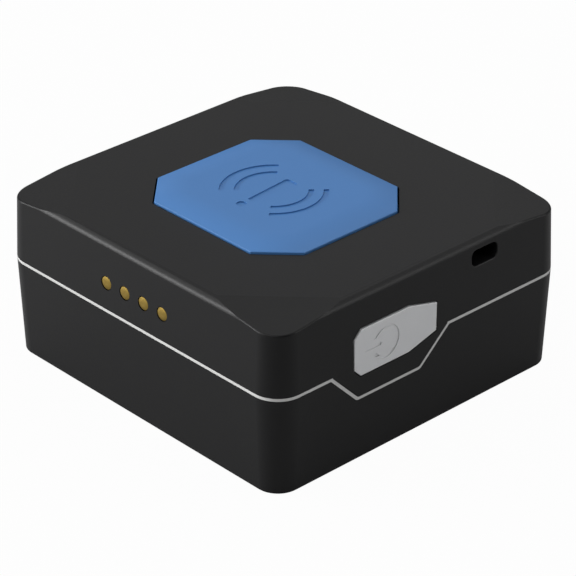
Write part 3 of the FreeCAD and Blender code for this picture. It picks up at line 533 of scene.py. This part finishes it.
# %% Key form
key_low, key_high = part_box("side_button")
key_length = 12.05 * MM
key_height = 5.5 * MM
key_y = (key_low.y + key_high.y) / 2
key_level = (key_low.z + key_high.z) / 2
key_edge_round = 0.06 * MM
nose_cut = 0.95 * MM
taper_length = 4.1 * MM
taper_drop = 1.08 * MM
nub_radius = 0.9 * MM
key_flange_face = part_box("side_button_seal")[0].x
key_back = key_flange_face - 0.55 * MM


def key_form(name, grow, low, high):
    """The key's outline as a block from x = low to x = high, grown evenly by grow."""
    half_y = key_length / 2
    half_z = key_height / 2
    piece = block(name, (low, key_y - half_y - grow, key_level - half_z - grow),
                  (high, key_y + half_y + grow, key_level + half_z + grow))
    for up in (-1, 1):
        for spot, normal in (
                (Vector((0, -half_y, half_z - nose_cut)), Vector((0, -1, 1))),
                (Vector((0, half_y, half_z - taper_drop)), Vector((0, taper_drop, taper_length)))):
            normal.normalize()
            spot = spot + normal * grow
            pick(piece, "FACE", everything)
            bpy.ops.mesh.bisect(plane_co=(0, key_y + spot.y, key_level + up * spot.z),
                                plane_no=(0, normal.y, up * normal.z), clear_outer=True, use_fill=True,
                                threshold=CUT_SLACK)
    close_edit()
    return piece


power_key = key_form("power_key", 0, key_back, half_width)
pick(power_key, "EDGE", lambda edge: all(vertex.co.x > half_width - NEAR for vertex in edge.verts))
bpy.ops.mesh.bevel(offset=key_edge_round, segments=3, affect="EDGES")
close_edit()
combine(power_key, key_form("key_rim", flange_lip, key_back, key_flange_face), "UNION")
nub = rod("nub", nub_radius, (key_low.x, key_y, key_level), (key_back + joined, key_y, key_level))
combine(power_key, nub, "UNION")
measure(power_key)

# %% Engraved power sign
power = Vector((half_width, -5.95 * MM, key_level))
power_depth = Vector((0.1 * MM, 0, 0))
through = Vector((MM, 0, 0))
power_radius = 1.8 * MM
power_groove = 0.35 * MM
ring_opening = 0.85 * MM
bar_start = 2.95 * MM
bar_end = 0.65 * MM
ring = rod("ring", power_radius + power_groove / 2, power - power_depth, power + power_depth)
combine(ring, rod("core", power_radius - power_groove / 2, power - through, power + through))
combine(ring, block("ring_gap", power - through + Vector((0, -2 * power_radius, -ring_opening)),
                    power + through + Vector((0, 0, ring_opening))))
combine(power_key, ring)
combine(power_key, block("bar", power - power_depth + Vector((0, -bar_start, -power_groove / 2)),
                         power + power_depth + Vector((0, -bar_end, power_groove / 2))))
soften(power_key)
measure(power_key)

# %% [markdown]
# ## Openings in the upper shell
# Each opening follows the piece that sits in it, grown by the running gap, so the joint line is even
# all round. The lanyard slot's mouth is bevelled after it is cut, because its lower lip catches a
# thin line of light.

# %% Cut the openings
alarm_gap = 0.2 * MM
key_gap = 0.12 * MM
contact_low, contact_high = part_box("charge_contacts")
contact_level = (contact_low.z + contact_high.z) / 2
contact_middle = (contact_low.x + contact_high.x) / 2
contact_radius = 0.74 * MM
contact_gap = 0.08 * MM
contact_pitch = 3.0 * MM
contact_places = [contact_middle + contact_pitch * (index - 1.5) for index in range(4)]
combine(upper_shell, octagon("button_opening", alarm_gap, ceiling - MM, far))
combine(upper_shell, key_form("key_opening", key_gap, inner_x - MM, far))
for x in contact_places:
    hole = rod("hole", contact_radius + contact_gap, (x, -far, contact_level),
               (x, MM - inner_y, contact_level))
    combine(upper_shell, hole)
combine(upper_shell, corner_sweep("passage", lanyard_width / 2, lanyard_low, lanyard_high, lanyard_round))
print("upper shell with its openings:", len(upper_shell.data.polygons), "faces")

# %% Soften the lanyard slot's two mouths
mouth_bevel = 0.1 * MM


def on_slot_mouth(edge):
    """Edges where the slot comes through the right wall or the back wall."""
    middle = (edge.verts[0].co + edge.verts[1].co) / 2
    if abs(middle.z - lanyard_level) > lanyard_height / 2 + 5 * NEAR or not edge.is_manifold:
        return False
    lean = (middle.z - seam) * math.tan(upper_draft)
    in_x, in_y = half_width - middle.x, half_depth - middle.y
    on_right = abs(in_x - lean) < NEAR and abs(in_y - lanyard_bend) < lanyard_width
    on_back = abs(in_y - lean) < NEAR and abs(in_x - lanyard_bend) < lanyard_width
    return (on_right or on_back) and edge.calc_face_angle() > math.radians(30)


mouth_edges = pick(upper_shell, "EDGE", on_slot_mouth)
bpy.ops.mesh.bevel(offset=mouth_bevel, segments=2, affect="EDGES")
close_edit()
print("mouth edges bevelled:", mouth_edges)

# %% Screw holes in both shells
pilot_radius = 0.8 * MM
pilot_top = 14.7 * MM
recess_radius = 1.62 * MM
pass_radius = 0.92 * MM
head_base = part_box("case_screws")[0].z + 1.0 * MM
for x, y in corner_places:
    combine(upper_shell, rod("pilot", pilot_radius, (x, y, board_top - MM), (x, y, pilot_top), 24))
    combine(lower_shell, rod("recess", recess_radius, (x, y, -MM), (x, y, head_base)))
    combine(lower_shell, rod("pass", pass_radius, (x, y, head_base - MM), (x, y, far), 32))
for piece in (upper_shell, lower_shell, seam_line):
    soften(piece)
    measure(piece)

# %% [markdown]
# ## Charging contacts
# Each contact is a gold plated pin whose head is a low dome. A flat end would reflect one thing all
# over, and the dome gives each contact its small bright spot. One is modelled from a cylinder and
# copied three times, each copy with its own mesh, and the four are joined.

# %% Contact pins
dome_rise = 0.08 * MM
dome_width = 0.5 * MM
collar_radius = 1.1 * MM
collar_depth = 0.5 * MM
first = contact_places[0]
pin = rod("pin", contact_radius, (first, contact_high.y, contact_level),
          (first, contact_low.y + dome_rise, contact_level))
pick(pin, "FACE", lambda face: face.normal.y < -FACING)
crown_up(dome_width, dome_rise, 8)
close_edit()
combine(pin, rod("collar", collar_radius, (first, -inner_y, contact_level),
                 (first, collar_depth - inner_y, contact_level)), "UNION")
soften(pin, 30)
pins = [pin]
for index, x in enumerate(contact_places[1:], start=2):
    copy = twin(pin, f"pin_{index}")
    pick(copy, "VERT", everything)
    bpy.ops.transform.translate(value=(x - first, 0, 0))
    close_edit()
    pins.append(copy)
activate(pins[0])
for copy in pins[1:]:
    copy.select_set(True)
bpy.ops.object.join()
contact_pins = bpy.context.active_object
contact_pins.name = "contact_pins"
measure(contact_pins)

# %% [markdown]
# ## Materials
# Every finish is a Principled shader with a fine pattern in its roughness and a slow drift in its
# colour, and a bump where the real surface is felt under a finger. Patterns read Object coordinates,
# which are metres here, so a pattern's scale is one over its grain size. Colours are written as they
# look on the object and turned to linear values by one function.

# %% Helpers for materials


def colour(code):
    """An sRGB hex colour as linear red, green, blue and alpha."""
    parts = [int(code[place:place + 2], 16) / 255 for place in (0, 2, 4)]
    return [part / 12.92 if part <= 0.04045 else ((part + 0.055) / 1.055) ** 2.4 for part in parts] + [1.0]


def add_node(material, kind, settings=None, links=None):
    """Add a node, set its properties and input values, and link outputs into its inputs."""
    node = material.node_tree.nodes.new(kind)
    for name, value in (settings or {}).items():
        if name in node.inputs:
            node.inputs[name].default_value = value
        else:
            setattr(node, name, value)
    for name, output in (links or {}).items():
        material.node_tree.links.new(output, node.inputs[name])
    return node


# %% One finish
ROUGHNESS_SPREAD = 0.05
BUMP_SHARE = 0.2
# The Mix node has sockets for each kind of value. These are the numbers of its colour sockets.
MIX_DARK, MIX_LIGHT, MIX_COLOUR = 6, 7, 2


def finish(name, code, roughness, metallic=0.0, specular=0.5, grain=0.2, bump=0.0, mottle=0.0, blotch=3.0):
    """A finish with its grain in mm: grain drives bump and roughness, and blotch drives slow colour drift."""
    material = bpy.data.materials.new(name)
    material.use_nodes = True
    links = material.node_tree.links
    shader = material.node_tree.nodes["Principled BSDF"]
    shader.inputs["Metallic"].default_value = metallic
    if not metallic:
        shader.inputs["Specular IOR Level"].default_value = specular
    place = {"Vector": add_node(material, "ShaderNodeTexCoord").outputs["Object"]}
    fine = add_node(material, "ShaderNodeTexNoise", {"Scale": 1 / (grain * MM), "Detail": 3.0}, place)
    slow = add_node(material, "ShaderNodeTexNoise", {"Scale": 1 / (blotch * MM), "Detail": 2.0}, place)
    rough = add_node(material, "ShaderNodeMapRange",
                     {"To Min": roughness - ROUGHNESS_SPREAD, "To Max": roughness + ROUGHNESS_SPREAD},
                     {"Value": fine.outputs["Fac"]})
    links.new(rough.outputs["Result"], shader.inputs["Roughness"])
    mix = add_node(material, "ShaderNodeMix", {"data_type": "RGBA"}, {"Factor": slow.outputs["Fac"]})
    for socket, share in ((MIX_DARK, 1 - mottle), (MIX_LIGHT, 1 + mottle)):
        mix.inputs[socket].default_value = [part * share for part in colour(code)[:3]] + [1.0]
    links.new(mix.outputs[MIX_COLOUR], shader.inputs["Base Color"])
    if bump:
        raised = add_node(material, "ShaderNodeBump", {"Strength": bump, "Distance": grain * MM * BUMP_SHARE},
                          {"Height": fine.outputs["Fac"]})
        links.new(raised.outputs["Normal"], shader.inputs["Normal"])
    print(name, "has", len(material.node_tree.nodes), "nodes")
    return material


# %% [markdown]
# ### Finishes that show
# The shells are moulded black ABS, the button is a cap of blue polycarbonate, the key is painted
# silver, the seal is silicone rubber and the contacts are gold over nickel. The mould's grain is
# drawn at about a quarter of a millimetre, as coarse as it needs to be to show at all.

# %% Finishes that show
# A finely spark-eroded mould leaves deep black with a soft sheen and no gloss.
case_abs = finish("black_moulded_abs", "101011", 0.42, specular=0.23, grain=0.25, bump=0.1, mottle=0.04)
# A smoother mould gives an even satin blue, whose highlights are wide and weak.
cap_plastic = finish("blue_satin_polycarbonate", "4778B2", 0.4, specular=0.25, grain=0.2, bump=0.03,
                     mottle=0.01)
# Sprayed silver is a pale grey with a little metal in it, flatter than a real metal.
key_paint = finish("silver_painted_abs", "D6D7D9", 0.45, metallic=0.3, grain=0.12, bump=0.05, mottle=0.02)
# Cured silicone is milky and almost without a highlight.
seal_silicone = finish("pale_grey_silicone", "C4C4C3", 0.55, specular=0.3, grain=0.2, mottle=0.02)
# Gold that has met a charging cradle often is dull, brownish and uneven.
gold = finish("gold_plated_brass", "88733A", 0.6, metallic=1.0, grain=0.08, bump=0.1, mottle=0.08, blotch=0.4)

# %% [markdown]
# ### Finishes inside
# What lies inside shows when the shells are taken off, and is finished as carefully. These are the
# materials of any small circuit board, its antennas, its motor and its pouch battery.

# %% Finishes of rubber, plastic and film
# Black silicone rings: matt, and a shade lighter than the case.
inner_silicone = finish("black_silicone", "1E1E1E", 0.6, specular=0.3, grain=0.2, mottle=0.05)
# Switch bodies and the contacts' carrier: plain moulded nylon with a weak sheen.
switch_nylon = finish("black_nylon", "232323", 0.5, grain=0.15, bump=0.1, mottle=0.05)
# Switch plungers: slippery off-white plastic with a soft gloss.
plunger_acetal = finish("white_acetal", "C8C6BE", 0.4, grain=0.15, mottle=0.02)
# Moulded chips: dark grey, sandy and dull.
chip_epoxy = finish("moulded_epoxy", "262626", 0.6, grain=0.1, bump=0.15, mottle=0.05)
# The film antenna: amber and glossy, with a slightly uneven tone.
antenna_film = finish("amber_polyimide_film", "9A5A1E", 0.3, grain=0.3, mottle=0.08)
# The card: clean white with a faint gloss.
card_pvc = finish("white_pvc_card", "E4E3DE", 0.45, grain=0.2, mottle=0.02)
# The battery's pad: open foam, as dull as cloth.
foam_tape = finish("black_foam_tape", "202020", 0.9, specular=0.2, grain=0.3, bump=0.5, mottle=0.1)
# The leads' sleeves: smooth and slightly glossy, one red and one black.
red_pvc = finish("red_pvc_insulation", "B01818", 0.4, grain=0.2, mottle=0.03)
black_pvc = finish("black_pvc_insulation", "1C1C1C", 0.4, grain=0.2, mottle=0.03)
# Connector housings: warm white nylon.
connector_nylon = finish("natural_nylon", "D8D2C2", 0.45, grain=0.2, mottle=0.03)
# Solder mask: glossy green that darkens and lightens over the copper under it.
solder_mask = finish("green_solder_mask", "14532D", 0.3, grain=0.3, bump=0.1, mottle=0.12, blotch=1.2)
# The patch antenna's tile: fired brown ceramic, dry and speckled.
patch_ceramic = finish("fired_ceramic", "A89478", 0.7, grain=0.12, bump=0.2, mottle=0.06, blotch=0.8)

# %% Finishes of metal
# Silver fired on the ceramic: whitish and satin.
silver_plate = finish("fired_silver", "DAD8D0", 0.35, metallic=1.0, grain=0.1, bump=0.1, mottle=0.04)
# Shield cans: tinned sheet, bright with a soft blur.
shield_steel = finish("tinned_steel", "B8B8BA", 0.3, metallic=1.0, grain=0.2, bump=0.05, mottle=0.04)
# The motor's can: pressed and nickel plated, a little sharper.
motor_steel = finish("nickel_plated_steel", "B0B0B2", 0.28, metallic=1.0, grain=0.15, mottle=0.03)
# The battery's pouch: aluminium foil with fine wrinkles.
pouch_foil = finish("aluminium_pouch_foil", "C2C4C8", 0.38, metallic=1.0, grain=0.4, bump=0.2, mottle=0.03)
# Magnets: barrel plated, the brightest metal here.
magnet_nickel = finish("nickel_plated_magnet", "C4C2BC", 0.2, metallic=1.0, grain=0.2, mottle=0.02)
# Screws: dark zinc, smoky rather than black.
screw_steel = finish("black_zinc_steel", "4A4A4C", 0.35, metallic=1.0, grain=0.1, bump=0.1, mottle=0.06)

# %% Give the pieces inside their finish
inside = {
    "sos_button_seal": inner_silicone, "side_button_seal": inner_silicone,
    "main_board": solder_mask, "modem_module": solder_mask, "battery_protection_board": solder_mask,
    "sos_switch_body": switch_nylon, "side_switch_body": switch_nylon, "contact_carrier": switch_nylon,
    "sos_switch_plunger": plunger_acetal, "side_switch_plunger": plunger_acetal,
    "gnss_antenna_ceramic": patch_ceramic,
    "gnss_antenna_electrode": silver_plate, "gnss_feed_pin": silver_plate,
    "modem_shield": shield_steel, "bluetooth_module": shield_steel, "sim_holder": shield_steel,
    "board_chips": chip_epoxy, "cellular_antenna": antenna_film,
    "motor_case": motor_steel, "motor_base": motor_steel,
    "motor_shaft": motor_steel, "motor_rotor": motor_steel,
    "sim_card": card_pvc, "battery_pad": foam_tape, "battery_cell": pouch_foil,
    "battery_socket": connector_nylon, "battery_plug": connector_nylon,
    "battery_lead_red": red_pvc, "battery_lead_black": black_pvc,
    "charge_magnets": magnet_nickel, "contact_springs": gold, "case_screws": screw_steel,
}
for node_name, material in inside.items():
    for material_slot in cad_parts[node_name].material_slots:
        material_slot.material = material
print("pieces inside with a finish:", len(inside))

# %% [markdown]
# ## New pieces in the model's place
# Each new piece moves with the body of the node that it stands for, and hides that node.

# %% Give the new pieces their finish and body
dressed = (
    (upper_shell, case_abs, "housing", "upper_case", "case_plastic"),
    (lower_shell, case_abs, "housing", "lower_case", "case_plastic"),
    (seam_line, seal_silicone, "housing", "seam_seal", "seal_rubber"),
    (alarm_cap, cap_plastic, "alarm_button", "sos_button", "alarm_plastic"),
    (power_key, key_paint, "power_key", "side_button", "key_plastic"),
    (contact_pins, gold, "housing", "charge_contacts", "gold_plate"),
)
for piece, material, body, node_name, slot_name in dressed:
    piece.data.materials.clear()
    piece.data.materials.append(material)
    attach(piece, body)
    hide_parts(node_name)
    print(piece.name, "stands for", node_name)

# %% [markdown]
# ## Floor
# The photograph's ground is plain white. The floor is a pale matt sheet that takes the object's
# shadow and sends light back to its sides, and Light Path lets the camera see it nearly white, with
# no more light on the object. Glossy and transmitted rays see the sheet itself with a small share of
# that white added, so that the black walls' sheen stays as dark as the photograph shows it.

# %% Floor
floor_size = 6
seen_by_camera = 0.97
seen_in_gloss = 0.06
floor = plate("floor", (0, 0, 0), floor_size, floor_size)
floor_paint = bpy.data.materials.new("white_floor_paint")
floor_paint.use_nodes = True
shader = floor_paint.node_tree.nodes["Principled BSDF"]
shader.inputs["Base Color"].default_value = colour("BCBCBC")
shader.inputs["Roughness"].default_value = 0.9
shader.inputs["Specular IOR Level"].default_value = 0.0
path = add_node(floor_paint, "ShaderNodeLightPath")
plain = add_node(floor_paint, "ShaderNodeMath", {"operation": "MULTIPLY"}, {0: path.outputs["Is Camera Ray"]})
plain.inputs[1].default_value = seen_by_camera
mirrored = add_node(floor_paint, "ShaderNodeMath", {"operation": "ADD"},
                    {0: path.outputs["Is Glossy Ray"], 1: path.outputs["Is Transmission Ray"]})
share = add_node(floor_paint, "ShaderNodeMath", {"operation": "MULTIPLY_ADD"},
                 {0: mirrored.outputs["Value"], 2: plain.outputs["Value"]})
share.inputs[1].default_value = seen_in_gloss
white = add_node(floor_paint, "ShaderNodeEmission", {"Color": colour("FFFFFF"), "Strength": 1.0})
blend = add_node(floor_paint, "ShaderNodeMixShader")
links = floor_paint.node_tree.links
links.new(share.outputs["Value"], blend.inputs["Fac"])
links.new(shader.outputs["BSDF"], blend.inputs[1])
links.new(white.outputs["Emission"], blend.inputs[2])
links.new(blend.outputs["Shader"], floor_paint.node_tree.nodes["Material Output"].inputs["Surface"])
floor.data.materials.append(floor_paint)
print("floor", floor_size, "m square")

# %% [markdown]
# ## Light
# The photograph's light is soft and comes mostly from the left. A large lamp that stands almost at
# floor level on the left fills the left face and makes the bright line along the top's left edge.
# Weaker lamps above, in front and behind keep the top even, and three small ones on the right give
# the right face and the corner their slight change of tone.

# %% Lamps and world
lamp_distance = 0.9
# Each lamp has a turn about Z from +X and a rise above the floor in degrees, a size in metres and
# a power in watts.
lamps = (
    ("left_low", 229, 2, 0.6, 15.5),
    ("left_high", 212, 45, 0.5, 2.4),
    ("overhead", 137, 78, 0.8, 1.7),
    ("front_high", 285, 45, 0.6, 2.0),
    ("back", 140, 36, 0.8, 1.15),
    ("right_low", 37, 13, 0.4, 1.8),
    ("right_middle", 50, 36, 0.5, 1.1),
    ("right_high", 92, 52, 0.6, 1.08),
)
for name, turn, rise, size, watts in lamps:
    turn, rise = math.radians(turn), math.radians(rise)
    towards = Vector((math.cos(turn) * math.cos(rise), math.sin(turn) * math.cos(rise), math.sin(rise)))
    data = bpy.data.lights.new(name, "AREA")
    data.size = size
    data.energy = watts
    item = bpy.data.objects.new(name, data)
    bpy.context.scene.collection.objects.link(item)
    item.location = towards * lamp_distance + Vector((0, 0, seam))
    item.rotation_euler = towards.to_track_quat("Z", "Y").to_euler()
world = bpy.data.worlds.new("studio")
bpy.context.scene.world = world
world.use_nodes = True
world.node_tree.nodes["Background"].inputs["Color"].default_value = colour("FFFFFF")
world.node_tree.nodes["Background"].inputs["Strength"].default_value = 0.02
print("lamps:", len(lamps))

# %% [markdown]
# ## Camera
# The camera stands where the photographer's did. Its direction, distance and lens come from lining
# up the edges of the box with a 576 x 576 frame, and the aim is moved a little off the box's centre
# as in the photograph.

# %% Camera
azimuth = math.radians(46.882)
elevation = math.radians(29.499)
roll = math.radians(0.088)
distance = 308.83 * MM
aim_right = 0.544 * MM
aim_up = -3.099 * MM
back = Vector((math.sin(azimuth) * math.cos(elevation), -math.cos(azimuth) * math.cos(elevation),
               math.sin(elevation)))
right = Vector((math.cos(azimuth), math.sin(azimuth), 0))
up = back.cross(right)
turned_right = right * math.cos(roll) + up * math.sin(roll)
turned_up = up * math.cos(roll) - right * math.sin(roll)
axes = [[turned_right[row], turned_up[row], back[row]] for row in range(3)]
camera_data = bpy.data.cameras.new("camera")
camera_data.sensor_width = 36
camera_data.lens = 175.32
camera = bpy.data.objects.new("camera", camera_data)
bpy.context.scene.collection.objects.link(camera)
camera.location = right * aim_right + up * aim_up + back * distance + Vector((0, 0, seam))
camera.rotation_mode = "QUATERNION"
camera.rotation_quaternion = Matrix(axes).to_quaternion()
bpy.context.scene.camera = camera
bpy.context.scene.view_settings.view_transform = "Standard"
print("camera at", [round(value / MM, 1) for value in camera.location])
